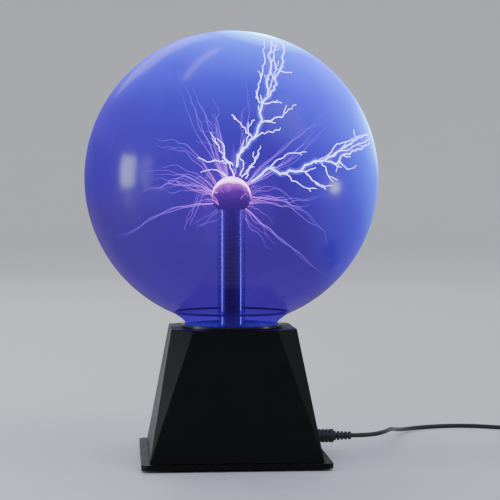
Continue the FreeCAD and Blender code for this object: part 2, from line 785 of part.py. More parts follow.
def add_chip_and_microphone():
    chip = block("chip_body", CHIP_SIZE, ("chip_x", "chip_y"), "board_top_z + 0.6")
    pins = [
        block("chip_pin_%d_%d" % (column, row), CHIP_PIN_SIZE,
              ("chip_x + %s * pin_pitch" % (column - 1.5), "chip_y + %s" % (3.6 * row)),
              "board_top_z")
        for column in range(4)
        for row in (-1, 1)
    ]
    sub_part("control_chip", fuse("chip", chip, *pins))
    capsule = cylinder("capsule", "capsule_radius", "capsule_height",
                       ("capsule_x", "capsule_y", "board_top_z"))
    port = cylinder("capsule_port", "1.2", "1",
                    ("capsule_x", "capsule_y", "board_top_z + capsule_height - 1"))
    sub_part("microphone", cut("microphone_body", capsule, port))


# Inlet, plug and lead ----------------------------------------------------------------


def along_jack(name, radius, low_x, top_x):
    """A cylinder on the axis that the inlet and the plug share."""
    return cylinder(name, radius, "%s - (%s)" % (top_x, low_x), (low_x, "jack_y", "jack_z"),
                    ALONG_X)


def add_inlet():
    body = block("jack_block", ("jack_face_x - jack_low_x", "jack_width", "jack_height"),
                 ("(jack_low_x + jack_face_x) / 2", "jack_y"), "board_top_z")
    bore = along_jack("jack_hole", "jack_bore", "jack_bore_low_x", "jack_face_x")
    seat = along_jack("jack_pin_seat", "jack_pin", "jack_low_x", "jack_bore_low_x")
    sub_part("inlet_body", cut("jack", body, bore, seat))
    pin = along_jack("jack_pin", "jack_pin", "jack_low_x", "jack_face_x - 1")
    sub_part("inlet_pin", pin)


def add_plug():
    sleeve = along_jack("sleeve_outside", "sleeve_radius", "sleeve_low_x", "sleeve_top_x")
    sleeve_bore = along_jack("sleeve_bore", "plug_core", "sleeve_low_x", "sleeve_top_x")
    sub_part("plug_sleeve", cut("sleeve", sleeve, sleeve_bore))
    core = along_jack("core_outside", "plug_core", "sleeve_low_x", "sleeve_top_x")
    core_bore = along_jack("core_bore", "plug_bore", "sleeve_low_x", "sleeve_top_x - plug_cap")
    sub_part("plug_core", cut("core", core, core_bore))

    grip = along_jack("grip", "plug_radius", "plug_low_x", "plug_top_x")
    grip_bore = along_jack("grip_bore", "sleeve_radius", "plug_low_x", "sleeve_top_x")
    grooves = [
        groove_on_jack("grip_groove_%d" % index, "plug_radius",
                       "plug_radius - grip_groove_depth",
                       "grip_groove_x + %d * groove_pitch" % index)
        for index in range(3)
    ]
    sub_part("plug_body", cut("plug_grip", grip, grip_bore, *grooves))

    taper = cone("relief_taper", "relief_low", "relief_high", "relief_top_x - plug_top_x",
                 ("plug_top_x", "jack_y", "jack_z"), ALONG_X)
    relief_grooves = [
        groove_on_jack("relief_groove_%d" % index, "relief_low + 0.5", "relief_groove_bore",
                       "relief_groove_x + %d * groove_pitch" % index)
        for index in range(4)
    ]
    sub_part("plug_strain_relief", cut("relief", taper, *relief_grooves))


def groove_on_jack(name, outer, inner, low_x):
    """A groove cutter: a ring on the plug's axis."""
    top_x = low_x + " + groove_width"
    outside = along_jack(name + "_outer", outer, low_x, top_x)
    inside = along_jack(name + "_inner", inner, low_x, top_x)
    return cut(name, outside, inside)


def add_lead():
    radius = size("cord_radius")
    sub_part("power_cord", swept_wire("power_cord", LEAD_ROUTE, radius, 16))
    ring = tube("coil", "coil_outer", "coil_inner", "coil_height", ("coil_x", "coil_y", 0))
    sub_part("cord_coil", ring)
    sub_part("adapter_cord", swept_wire("adapter_cord", TAIL_ROUTE, radius, 16))
    band_at = ("coil_x - (coil_inner + coil_outer) / 2", "coil_y")
    tie_size = (
        "coil_outer - coil_inner + 2 * tie_thick", "tie_width", "coil_height + tie_thick")
    tie = block("tie_outside", tie_size, band_at, "0")
    tie_bore = block(
        "tie_bore", ("coil_outer - coil_inner", "tie_width", "coil_height"), band_at, "0")
    sub_part("coil_tie", cut("tie", tie, tie_bore))


def rounded_half(name, half, split_z):
    """Round every edge of a half case except those on its parting plane."""
    fillet = doc.addObject("Part::Fillet", name)
    fillet.Base = half
    radius = size("adapter_round")
    fillet.Edges = [
        (number, radius, radius)
        for number, edge in enumerate(half.Shape.Edges, start=1)
        if any(abs(vertex.Z - split_z) > 0.01 for vertex in edge.Vertexes)
    ]
    return fillet


def add_adapter():
    centre = ("adapter_x", "adapter_y")
    halves = (("adapter_lower", "0"), ("adapter_upper", "adapter_height / 2"))
    for name, low in halves:
        half = block(name + "_block", ("adapter_width", "adapter_length", "adapter_height / 2"),
                     centre, low)
        doc.recompute()
        sub_part(name, rounded_half(name + "_rounded", half, size("adapter_height") / 2))
    prongs = [
        block("prong_%d" % index, ("prong_thick", "prong_width", "prong_length"),
              ("adapter_x + %d * prong_half_gap" % side, "adapter_y"), "adapter_height")
        for index, side in enumerate((-1, 1))
    ]
    sub_part("adapter_prongs", fuse("prongs", *prongs))
    face_y = "adapter_y + adapter_length / 2"
    taper = cone("adapter_relief_taper", "adapter_relief_low", "adapter_relief_high",
                 "adapter_relief_top_y - (%s)" % face_y,
                 ("adapter_x", face_y, "adapter_relief_z"), ALONG_Y)
    sub_part("adapter_strain_relief", taper)


# Switch ------------------------------------------------------------------------------


def place_in_wall(shape):
    """Stand a shape made about the switch's own origin in the sloping rear wall."""
    lean = math.degrees(math.atan(size("slope")))
    shape.Placement = FreeCAD.Placement(
        FreeCAD.Vector(), FreeCAD.Rotation(FreeCAD.Vector(1, 0, 0), lean))
    wall_y = "low_half - slope * (switch_z - foot_top_z)"
    shape.setExpression("Placement.Base.y", formula(wall_y))
    shape.setExpression("Placement.Base.z", formula("switch_z"))


def slab(name, half_x, half_z, low_y, high_y, centre_z="0"):
    """A box in the switch's frame, between two depths along its outward Y."""
    return make(
        "Part::Box", name,
        ("-1 * (%s)" % half_x, low_y, "%s - (%s)" % (centre_z, half_z)), UPRIGHT,
        Length="2 * (%s)" % half_x, Width="%s - (%s)" % (high_y, low_y),
        Height="2 * (%s)" % half_z)


def add_switch_housing():
    bezel = slab("bezel", "bezel_half_x", "bezel_half_z", "0", "bezel_depth")
    body = slab("switch_body", "body_half_x", "body_half_z", "-1 * body_depth", "0")
    pocket = slab("switch_pocket", "pocket_half_x", "pocket_half_z", "-1 * pocket_depth",
                  "bezel_depth")
    hinge_hole = cylinder(
        "hinge_hole", "hinge_radius + hinge_gap", "2 * (pocket_half_x + hinge_reach + 0.1)",
        ("-1 * (pocket_half_x + hinge_reach + 0.1)", 0, 0), ALONG_X)
    slots = [
        slab("terminal_slot_%d" % index, "bar_half_x", "terminal_half", "-1 * body_depth",
             "-1 * pocket_depth", "%d * terminal_pitch" % step)
        for index, (step, _, _) in enumerate(TERMINALS)
    ]
    housing = cut("switch_shell", fuse("switch_solid", bezel, body), pocket, hinge_hole, *slots)
    place_in_wall(housing)
    sub_part("switch_housing", housing)


def rocker_prism():
    """The rocker's long key with its dished face, as wide as the rocker."""
    half = size("rocker_half_x")
    end = size("rocker_radius") + 1
    back = -size("rocker_back")
    lip = size("rocker_lip")
    outline = (
        (back, -end), (lip, -end), (size("rocker_dip"), 0), (lip, end), (back, end),
        (back, -end),
    )
    face = Part.Face(Part.makePolygon([FreeCAD.Vector(-half, y, z) for y, z in outline]))
    return free_solid("rocker_prism", face.extrude(FreeCAD.Vector(2 * half, 0, 0)))


def add_rocker():
    drum = cylinder("rocker_drum", "rocker_radius", "2 * rocker_half_x",
                    ("-1 * rocker_half_x", 0, 0), ALONG_X)
    key = common("rocker_key", drum, rocker_prism())
    pins = cylinder("rocker_pins", "hinge_radius", "2 * (rocker_half_x + hinge_reach)",
                    ("-1 * (rocker_half_x + hinge_reach)", 0, 0), ALONG_X)
    stub = slab("rocker_stub", "stub_half", "stub_half", "-1 * stub_low", "-2")
    rocker = fuse("rocker", key, pins, stub)
    place_in_wall(rocker)
    sub_part("switch_rocker", rocker)
    tip_at = (0, "-1 * plunger_low", 0)
    barrel = cylinder("plunger_barrel", "plunger_radius", "plunger_low - stub_low", tip_at,
                      ALONG_Y)
    plunger = fuse("plunger", barrel, ball("plunger_tip", "plunger_radius", tip_at))
    place_in_wall(plunger)
    sub_part("switch_plunger", plunger)


def add_contact_and_terminals():
    bar_plate = slab("bar_plate", "bar_half_x", "bar_half_z", "-1 * bar_low", "-1 * bar_top")
    knife_groove = slab("knife_groove", "bar_half_x", "knife_half", "-1 * bar_low",
                        "knife_depth - bar_low")
    bar = cut("bar", bar_plate, knife_groove)
    place_in_wall(bar)
    sub_part("switch_contact_bar", bar)

    for index, (step, top, _) in enumerate(TERMINALS):
        z = "%d * terminal_pitch" % step
        strip = slab("blade_strip_%d" % index, "bar_half_x", "terminal_half",
                     "-1 * terminal_reach", top, z)
        eye = slab("blade_eye_%d" % index, "eye_half", "terminal_half", "-1 * eye_low",
                   "-1 * eye_top", z)
        blade = cut("blade_%d" % index, strip, eye)
        place_in_wall(blade)
        sub_part("switch_terminal_%d" % (index + 1), blade)


def in_wall(y, z):
    """A point on the switch's centre plane, in the object's frame."""
    lean = math.atan(size("slope"))
    wall_y = size("low_half") - size("slope") * (size("switch_z") - size("foot_top_z"))
    return (
        0,
        wall_y + y * math.cos(lean) - z * math.sin(lean),
        size("switch_z") + y * math.sin(lean) + z * math.cos(lean),
    )


def add_switch_wires():
    board = size("board_top_z")
    wires = []
    for index, (step, _, reach) in enumerate(TERMINALS):
        end = in_wall(-size("terminal_reach"), step * size("terminal_pitch"))
        way = (0, reach, end[2] - 0.6)
        route = [end, way, (0, reach, board)]
        wires.append(
            swept_wire("switch_wire_%d" % (index + 1), route, size("switch_wire"), 1.5))
    sub_part("switch_wires", fuse("switch_wire_set", *wires))


# Build and export --------------------------------------------------------------------


def check_document():
    """Stop on any object that failed or any sub-part that is not a sound solid."""
    for item in doc.Objects:
        if "Invalid" in item.State or "Error" in item.State:
            raise RuntimeError("%s did not recompute: %s" % (item.Name, item.State))
    for part in sub_parts:
        if part.Shape.isNull() or not part.Shape.isValid():
            raise RuntimeError("%s has no valid shape" % part.Label)
        print("%-24s volume %9.1f mm3, solids %d" % (
            part.Label, part.Shape.Volume, len(part.Shape.Solids)))


def export_parts():
    os.makedirs("parts", exist_ok=True)
    for part in sub_parts:
        part.Shape.exportStep("parts/%s.step" % part.Label)


fill_sheet()
add_base_housing()
add_bottom_cover()
add_foot_pads()
add_screws()
add_neck_parts()
add_glass_globe()
add_stem()
add_electrode()
add_contact_spring()
add_board()
add_transformer()
add_power_stage()
add_capacitors()
add_resistors()
add_chip_and_microphone()
add_inlet()
add_plug()
add_lead()
add_adapter()
add_switch_housing()
add_rocker()
add_contact_and_terminals()
add_switch_wires()
doc.recompute()
check_document()
export_parts()
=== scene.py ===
import math
import random

import bmesh
import bpy
from mathutils import Matrix, Vector, noise


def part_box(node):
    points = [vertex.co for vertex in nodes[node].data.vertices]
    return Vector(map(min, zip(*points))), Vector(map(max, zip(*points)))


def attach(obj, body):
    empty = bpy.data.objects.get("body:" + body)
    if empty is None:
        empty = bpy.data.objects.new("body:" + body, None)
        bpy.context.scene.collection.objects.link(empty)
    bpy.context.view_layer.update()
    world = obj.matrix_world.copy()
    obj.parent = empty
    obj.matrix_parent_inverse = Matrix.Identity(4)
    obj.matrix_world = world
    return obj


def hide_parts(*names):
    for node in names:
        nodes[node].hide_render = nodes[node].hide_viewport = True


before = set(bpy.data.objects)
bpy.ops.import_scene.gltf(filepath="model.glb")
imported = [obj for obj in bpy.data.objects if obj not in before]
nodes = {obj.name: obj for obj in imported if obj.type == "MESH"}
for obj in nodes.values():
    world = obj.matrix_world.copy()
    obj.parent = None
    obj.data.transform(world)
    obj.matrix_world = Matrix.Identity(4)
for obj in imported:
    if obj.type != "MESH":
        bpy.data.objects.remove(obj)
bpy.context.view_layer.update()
scene = bpy.context.scene

MM = 0.001
UP = Vector((0, 0, 1))
FULL_TURN = 2 * math.pi

# Places that several pieces share -----------------------------------------------------

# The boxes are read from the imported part. The other sizes are the part's own.
globe_low, globe_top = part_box("glass_globe")
GLOBE_RADIUS = 0.100
GLOBE_WALL = 1.6 * MM
GLOBE = Vector((0, 0, globe_top.z - GLOBE_RADIUS))
NECK_LOW = globe_low.z
NECK_RADIUS = 0.031
FLARE_LOW = 0.091
FLARE_TOP = 0.099

bulb_low, bulb_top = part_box("electrode_bulb")
BULB_RADIUS = (bulb_top.x - bulb_low.x) / 2
BULB = Vector((0, 0, bulb_top.z - BULB_RADIUS))
STEM_RADIUS = 0.0094
STEM_TOP = BULB.z - math.sqrt(BULB_RADIUS ** 2 - STEM_RADIUS ** 2)

# Where the two bright branches of the discharge meet the glass.
TOUCHES = [Vector((20, -18, 95)) * MM + GLOBE, Vector((94, -9, 31)) * MM + GLOBE]


# Small helpers ------------------------------------------------------------------------

# A ring with a radius below this is a single point on the axis.
ON_AXIS = 1e-6


def link(name, data, body="base", stage=False):
    """Put mesh or curve data in the scene, on a body of the part or in the room."""
    piece = bpy.data.objects.new(name, data)
    scene.collection.objects.link(piece)
    if stage:
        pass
    else:
        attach(piece, body)
    return piece


def paint(piece, material):
    piece.data.materials.clear()
    piece.data.materials.append(material)


def smooth(mesh):
    for polygon in mesh.polygons:
        polygon.use_smooth = True


def revolve(name, outline, steps=160, closed=False):
    """A surface of revolution about Z from (radius, height) points."""
    shape = bmesh.new()
    rings = []
    for radius, height in outline:
        if radius < ON_AXIS:
            rings.append([shape.verts.new((0, 0, height))])
            continue
        ring = []
        for step in range(steps):
            angle = FULL_TURN * step / steps
            ring.append(shape.verts.new(
                (radius * math.cos(angle), radius * math.sin(angle), height)))
        rings.append(ring)
    pairs = list(zip(rings, rings[1:]))
    if closed:
        pairs.append((rings[-1], rings[0]))
    for low, high in pairs:
        for step in range(steps):
            after = (step + 1) % steps
            if len(low) == 1:
                shape.faces.new((low[0], high[step], high[after]))
            elif len(high) == 1:
                shape.faces.new((low[after], low[step], high[0]))
            else:
                shape.faces.new((low[after], low[step], high[step], high[after]))
    mesh = bpy.data.meshes.new(name)
    shape.to_mesh(mesh)
    shape.free()
    smooth(mesh)
    return mesh


def tubes(name, paths, resolution=2):
    """One piece of round tubes. A path is (points, radii)."""
    curve = bpy.data.curves.new(name, "CURVE")
    curve.dimensions = "3D"
    curve.bevel_depth = MM
    curve.bevel_resolution = resolution
    curve.use_fill_caps = True
    for points, radii in paths:
        spline = curve.splines.new("POLY")
        spline.points.add(len(points) - 1)
        for target, point, radius in zip(spline.points, points, radii):
            target.co = (*point, 1)
            target.radius = radius / MM
    pattern = bpy.data.objects.new(name + "_pattern", curve)
    mesh = bpy.data.meshes.new_from_object(pattern)
    bpy.data.objects.remove(pattern)
    smooth(mesh)
    return link(name, mesh)


# Materials ----------------------------------------------------------------------------

# Scales of the noise that varies a solid material's colour and its gloss.
BLOTCHES = 28
WEAR = 55
# How far the wear goes below and above a material's roughness, and where it stops.
WEAR_BELOW = 0.07
WEAR_ABOVE = 0.08
SMOOTHEST = 0.03
# The height that a bump of strength 1 stands for.
BUMP_HEIGHT = 0.1 * MM
NOISE_ROUGHNESS = 0.55


class Nodes:
    """A short way to write a material's nodes."""

    def __init__(self, name):
        self.material = bpy.data.materials.new(name)
        self.material.use_nodes = True
        self.tree = self.material.node_tree
        self.tree.nodes.clear()
        self.output = self.add("ShaderNodeOutputMaterial")

    def add(self, kind, **settings):
        """A node. A setting is one of its own or, with _ for a space, one of its sockets."""
        node = self.tree.nodes.new(kind)
        for key, value in settings.items():
            if hasattr(node, key):
                setattr(node, key, value)
            else:
                node.inputs[key.replace("_", " ")].default_value = value
        return node

    def wire(self, source, target):
        self.tree.links.new(source, target)

    def feed(self, value, target):
        """Set a number or a colour on a socket, or link another socket to it."""
        if isinstance(value, (int, float)):
            target.default_value = value
        elif isinstance(value, tuple):
            target.default_value = (*value, 1)
        else:
            self.wire(value, target)

    def place(self):
        return self.add("ShaderNodeTexCoord").outputs["Object"]

    def noise(self, scale, detail):
        texture = self.add(
            "ShaderNodeTexNoise", Scale=scale, Detail=detail, Roughness=NOISE_ROUGHNESS)
        self.wire(self.place(), texture.inputs["Vector"])
        return texture.outputs["Fac"]

    def ramp(self, source, stops):
        """A colour ramp from (place, colour) stops; a number stands for a grey."""
        ramp = self.add("ShaderNodeValToRGB")
        elements = ramp.color_ramp.elements
        while len(elements) < len(stops):
            elements.new(0.5)
        for element, (place, colour) in zip(elements, stops):
            element.position = place
            if isinstance(colour, (int, float)):
                colour = (colour, colour, colour)
            element.color = (*colour, 1)
        self.wire(source, ramp.inputs["Fac"])
        return ramp.outputs["Color"]

    def distance(self, centre, reach):
        """0 at a point of the object and 1 at 'reach' from it."""
        gap = self.add("ShaderNodeVectorMath", operation="DISTANCE")
        gap.inputs[1].default_value = centre
        self.wire(self.place(), gap.inputs[0])
        return self.math("DIVIDE", gap.outputs["Value"], reach)

    def height(self, low, high):
        """0 at the height 'low' of the object and 1 at 'high'."""
        split = self.add("ShaderNodeSeparateXYZ")
        self.wire(self.place(), split.inputs[0])
        span = self.add("ShaderNodeMapRange", From_Min=low, From_Max=high)
        self.wire(split.outputs["Z"], span.inputs["Value"])
        return span.outputs[0]

    def facing(self, blend=0.5):
        """0 where the surface faces the viewer and 1 at its outline."""
        return self.add("ShaderNodeLayerWeight", Blend=blend).outputs["Facing"]

    def colour_math(self, operation, first, second):
        node = self.add("ShaderNodeVectorMath", operation=operation)
        self.wire(first, node.inputs[0])
        self.wire(second, node.inputs[1])
        return node.outputs[0]

    def math(self, operation, first, second):
        """A Math node on two sockets or numbers, its result held between 0 and 1."""
        node = self.add("ShaderNodeMath", operation=operation, use_clamp=True)
        self.feed(first, node.inputs[0])
        self.feed(second, node.inputs[1])
        return node.outputs[0]

    def light(self, colour, strength):
        shader = self.add("ShaderNodeEmission", Strength=strength)
        self.feed(colour, shader.inputs["Color"])
        return shader.outputs[0]

    def clear(self, colour=(1.0, 1.0, 1.0)):
        shader = self.add("ShaderNodeBsdfTransparent")
        self.feed(colour, shader.inputs["Color"])
        return shader.outputs[0]

    def gloss(self, roughness, colour=(0.8, 0.8, 0.8)):
        shader = self.add("ShaderNodeBsdfGlossy", Roughness=roughness)
        self.feed(colour, shader.inputs["Color"])
        return shader.outputs[0]

    def mix(self, part, first, second):
        """The first shader where 'part' is 0 and the second where it is 1."""
        shader = self.add("ShaderNodeMixShader")
        self.feed(part, shader.inputs[0])
        self.wire(first, shader.inputs[1])
        self.wire(second, shader.inputs[2])
        return shader.outputs[0]

    def finish(self, shader):
        self.wire(shader, self.output.inputs["Surface"])
        return self.material

    def finish_glow(self, colour, strength, cover):
        """Glowing gas: light that hides what is behind it where 'cover' is 1."""
        return self.finish(self.mix(cover, self.clear(), self.light(colour, strength)))


def solid_material(name, colour, roughness, metallic=0.0, grain=400, depth=0.15, spread=0.15,
                   edge=0.0, coat=0.0, gloss=0.5):
    """A plastic, metal or rubber with grain, uneven gloss and softened edges.

    'grain' is the scale of the bump and 'depth' its strength, 'spread' is how much the
    colour varies, and 'edge' is the radius of the softened edges.
    """
    n = Nodes(name)
    surface = n.add("ShaderNodeBsdfPrincipled", Metallic=metallic, Coat_Weight=coat,
                    Specular_IOR_Level=gloss)
    dark = tuple(value * (1 - spread) for value in colour)
    light = tuple(min(1, value * (1 + spread)) for value in colour)
    n.wire(n.ramp(n.noise(BLOTCHES, 5), ((0.3, dark), (0.7, light))),
           surface.inputs["Base Color"])
    low = max(SMOOTHEST, roughness - WEAR_BELOW)
    high = roughness + WEAR_ABOVE
    n.wire(n.ramp(n.noise(WEAR, 6), ((0.3, low), (0.75, high))), surface.inputs["Roughness"])
    bump = n.add("ShaderNodeBump", Strength=depth, Distance=BUMP_HEIGHT)
    n.wire(n.noise(grain, 3), bump.inputs["Height"])
    if edge:
        soften = n.add("ShaderNodeBevel", samples=4, Radius=edge)
        n.wire(soften.outputs[0], bump.inputs["Normal"])
    n.wire(bump.outputs[0], surface.inputs["Normal"])
    return n.finish(surface.outputs[0])


# Camera -------------------------------------------------------------------------------

CAMERA_AT = Vector((-0.0747, -1.0796, 0.1741))
CAMERA_TURN = math.radians(-4.63)
CAMERA_DOWN = math.radians(1.69)


def add_camera():
    data = bpy.data.cameras.new("camera")
    data.lens = 114.0
    data.sensor_width = 36.0
    data.clip_start = 0.01
    camera = bpy.data.objects.new("camera", data)
    camera.location = CAMERA_AT
    camera.rotation_euler = (math.pi / 2 - CAMERA_DOWN, 0, CAMERA_TURN)
    scene.collection.objects.link(camera)
    scene.camera = camera


# The lead -----------------------------------------------------------------------------

CORD_DIAMETER = 3.2 * MM

# The lead's route in millimetres: from the plug to the coil, and from the coil to the adapter.
LEAD_ROUTE = [
    (84.0, 10.0, 12.5), (98.5, 10.0, 12.5), (110.5, 19.8, 13.6), (118.0, 45.0, 11.7),
    (125.0, 73.0, 7.4), (135.0, 100.0, 3.0), (150.0, 120.0, 1.6), (171.0, 128.0, 1.6),
    (193.0, 128.0, 1.6), (213.0, 118.0, 1.6), (229.0, 107.0, 1.6),
]
TAIL_ROUTE = [
    (252.4, 77.0, 10.9), (252.4, 69.0, 12.4), (252.4, 60.0, 13.0), (252.4, 52.0, 13.0),
]
# Where each turn of the coil lies: the column from the outside in, and the layer.
COIL_TURNS = [(0, 0), (0, 1), (0, 2), (1, 2), (1, 1), (1, 0), (2, 0), (2, 1), (2, 2), (2, 3)]
COIL_ENTRY = math.radians(67.6)
# The part of each turn after which the cord moves over to its next place.
COIL_CHANGE = 0.8
# The smooth curve runs a little inside its points, so these stand further out.
COIL_WIDENING = 1.01
POINTS_PER_TURN = 18


def coil_points():
    """The put-away turns, wound clockwise from above, then leaving towards -Y."""
    low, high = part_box("cord_coil")
    centre = (low + high) / 2
    outermost = (high.x - low.x) / 2 - CORD_DIAMETER / 2
    last = len(COIL_TURNS) - 1
    total = int(round((last + COIL_ENTRY / FULL_TURN) * POINTS_PER_TURN))
    points = []
    for step in range(total):
        turns = step / POINTS_PER_TURN
        index = int(turns)
        change = min(1, max(0, (turns - index - COIL_CHANGE) / (1 - COIL_CHANGE)))
        column, layer = (
            here + (there - here) * change
            for here, there in zip(COIL_TURNS[index], COIL_TURNS[min(index + 1, last)]))
        radius = (outermost - column * CORD_DIAMETER) * COIL_WIDENING
        angle = COIL_ENTRY - FULL_TURN * turns
        points.append((
            centre.x + radius * math.cos(angle),
            centre.y + radius * math.sin(angle),
            CORD_DIAMETER * (0.5 + layer)))
    return points


def add_cord():
    points = [Vector(point) * MM for point in LEAD_ROUTE]
    points += coil_points()
    points += [Vector(point) * MM for point in TAIL_ROUTE]
    curve = bpy.data.curves.new("lead", "CURVE")
    curve.dimensions = "3D"
    curve.bevel_depth = 1.0
    curve.bevel_resolution = 5
    curve.resolution_u = 6
    spline = curve.splines.new("NURBS")
    spline.points.add(len(points) - 1)
    for target, point in zip(spline.points, points):
        target.co = (*point, 1)
        target.radius = CORD_DIAMETER / 2
    spline.order_u = 3
    spline.use_endpoint_u = True
    cord = link("lead", curve, "power_lead")
    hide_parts("power_cord", "cord_coil", "adapter_cord")
    paint(cord, solid_material(
        "vinyl_lead", (0.012, 0.012, 0.013), 0.42, grain=900, depth=0.1))


add_camera()
add_cord()


# Glass and electrode ------------------------------------------------------------------

# The ball of glass is drawn down to this height, where the flare to the neck begins.
BALL_END = FLARE_TOP + 0.3 * MM
FLARE_STEPS = 8
# Above 1, the flare narrows fastest near the ball.
FLARE_BEND = 1.8
# The heights between which the globe's glow changes, and how far a touch lights the glass.
GLOW_LOW = 0.085
GLOW_TOP = 0.29
TOUCH_LIGHT = 0.115


def arc_outline(radius, centre_z, low_z, steps):
    """(radius, height) points of a ball's outline from its top down to low_z."""
    end = math.acos((low_z - centre_z) / radius)
    return [
        (radius * math.sin(end * step / steps), centre_z + radius * math.cos(end * step / steps))
        for step in range(steps + 1)
    ]


def globe_outline():
    """The outline of the globe and its flared neck, from the top down."""
    outline = arc_outline(GLOBE_RADIUS, GLOBE.z, BALL_END, 96)
    start = Vector(outline[-1])
    for step in range(1, FLARE_STEPS + 1):
        part = step / FLARE_STEPS
        blend = 1 - (1 - part) ** FLARE_BEND
        outline.append((
            start.x + (NECK_RADIUS - start.x) * blend,
            start.y + (FLARE_LOW - start.y) * part))
    outline.append((NECK_RADIUS, NECK_LOW))
    return outline


def add_globe_glass():
    """Clear tinted glass that glows with the gas behind it, most where the branches touch."""
    globe = link("globe_glass", revolve("globe_glass", globe_outline()))
    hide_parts("glass_globe")
    n = Nodes("globe_glass")
    tone = n.ramp(n.height(GLOW_LOW, GLOW_TOP), (
        (0.0, (0.110, 0.035, 0.90)), (0.09, (0.045, 0.008, 0.24)),
        (0.40, (0.055, 0.003, 0.30)), (0.75, (0.09, 0.02, 1.15)), (1.0, (0.11, 0.05, 2.5))))
    clouds = n.ramp(n.noise(11, 3), ((0.3, 0.70), (0.7, 1.30)))
    tone = n.colour_math("MULTIPLY", tone, clouds)
    for spot in TOUCHES:
        near = n.ramp(n.distance(spot, TOUCH_LIGHT), (
            (0.0, (4.0, 20.0, 20.0)), (0.10, (0.8, 4.6, 7.5)), (0.30, (0.08, 0.46, 3.3)),
            (0.65, (0.03, 0.05, 1.1)), (1.0, 0.0)))
        tone = n.colour_math("ADD", tone, near)
    facing = n.facing()
    cover = n.ramp(facing, ((0.0, 0.26), (0.5, 0.30), (0.8, 0.42), (0.93, 0.80), (1.0, 0.97)))
    shine = n.ramp(facing, ((0.0, 0.018), (0.6, 0.045), (0.9, 0.13), (1.0, 0.3)))
    lit = n.mix(cover, n.clear((0.36, 0.18, 0.84)), n.light(tone, 1.0))
    paint(globe, n.finish(n.mix(shine, lit, n.gloss(0.18))))


def add_neck_ring():
    """The thick, dark band of glass where the ball was drawn into its neck."""
    half_width = 1.3 * MM
    half_height = 0.75 * MM
    steps = 16
    ring_z = FLARE_TOP + 1.0 * MM
    ball_radius = math.sqrt(GLOBE_RADIUS ** 2 - (GLOBE.z - ring_z) ** 2)
    ring_radius = ball_radius - 2 * half_width
    outline = []
    for step in range(steps):
        angle = -FULL_TURN * step / steps
        outline.append((
            ring_radius + half_width * math.cos(angle), ring_z + half_height * math.sin(angle)))
    ring = link("neck_ring", revolve("neck_ring", outline, closed=True))
    n = Nodes("neck_ring")
    shine = n.ramp(n.facing(0.4), ((0.0, 0.03), (1.0, 0.25)))
    paint(ring, n.finish(n.mix(shine, n.clear((0.05, 0.05, 0.28)), n.gloss(0.12))))


def add_stem():
    """The clear tube up to the electrode, with the flared foot that joins it to the neck."""
    foot_height = 10 * MM
    foot_width = 6 * MM
    gap = 2 * MM
    steps = 6
    outline = [(STEM_RADIUS, STEM_TOP), (STEM_RADIUS, NECK_LOW + foot_height)]
    for step in range(1, steps + 1):
        part = step / steps
        outline.append((
            STEM_RADIUS + foot_width * part ** 2,
            NECK_LOW + foot_height - (foot_height - GLOBE_WALL) * part))
    outline.append((NECK_RADIUS - gap, NECK_LOW + GLOBE_WALL))
    stem = link("stem_glass", revolve("stem_glass", outline, 96))
    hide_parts("stem_tube")
    n = Nodes("stem_glass")
    facing = n.facing()
    tint = n.ramp(facing, (
        (0.0, (0.09, 0.08, 0.21)), (0.26, (0.12, 0.11, 0.26)), (0.42, (0.80, 0.80, 0.95)),
        (0.8, (0.5, 0.5, 0.75))))
    shine = n.ramp(facing, ((0.0, 0.05), (0.3, 0.40), (0.5, 0.12), (1.0, 0.4)))
    paint(stem, n.finish(n.mix(shine, n.clear(tint), n.gloss(0.14, (0.8, 0.82, 1.0)))))


def add_electrode():
    """The ball on the stem: dark below, mottled, and white-hot at its top and upper rim."""
    outline = arc_outline(BULB_RADIUS, BULB.z, STEM_TOP, 40)
    ball = link("electrode_ball", revolve("electrode_ball", outline, 96))
    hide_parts("electrode_bulb")
    dark_below = BULB.z - 0.9 * BULB_RADIUS
    spot_strength = 0.45
    rim_narrowness = 2.5
    n = Nodes("electrode_glow")
    rise = n.height(dark_below, BULB.z + BULB_RADIUS)
    spots = n.math("MULTIPLY", n.math("SUBTRACT", n.noise(190, 3), 0.5), spot_strength)
    rim = n.math("MULTIPLY", n.math("POWER", n.facing(), rim_narrowness), rise)
    heat = n.math("ADD", n.math("ADD", rise, spots), rim)
    tone = n.ramp(heat, (
        (0.0, (0.02, 0.003, 0.03)), (0.35, (0.10, 0.015, 0.12)), (0.62, (0.42, 0.06, 0.34)),
        (0.84, (2.6, 0.7, 1.6)), (1.0, (20.0, 15.0, 10.0))))
    paint(ball, n.finish(n.light(tone, 1.0)))


# Discharge: the two bright branches -----------------------------------------------------

# How far from the globe's centre the middle of a branch or thread may run.
ROOM = GLOBE_RADIUS - GLOBE_WALL - 0.1 * MM

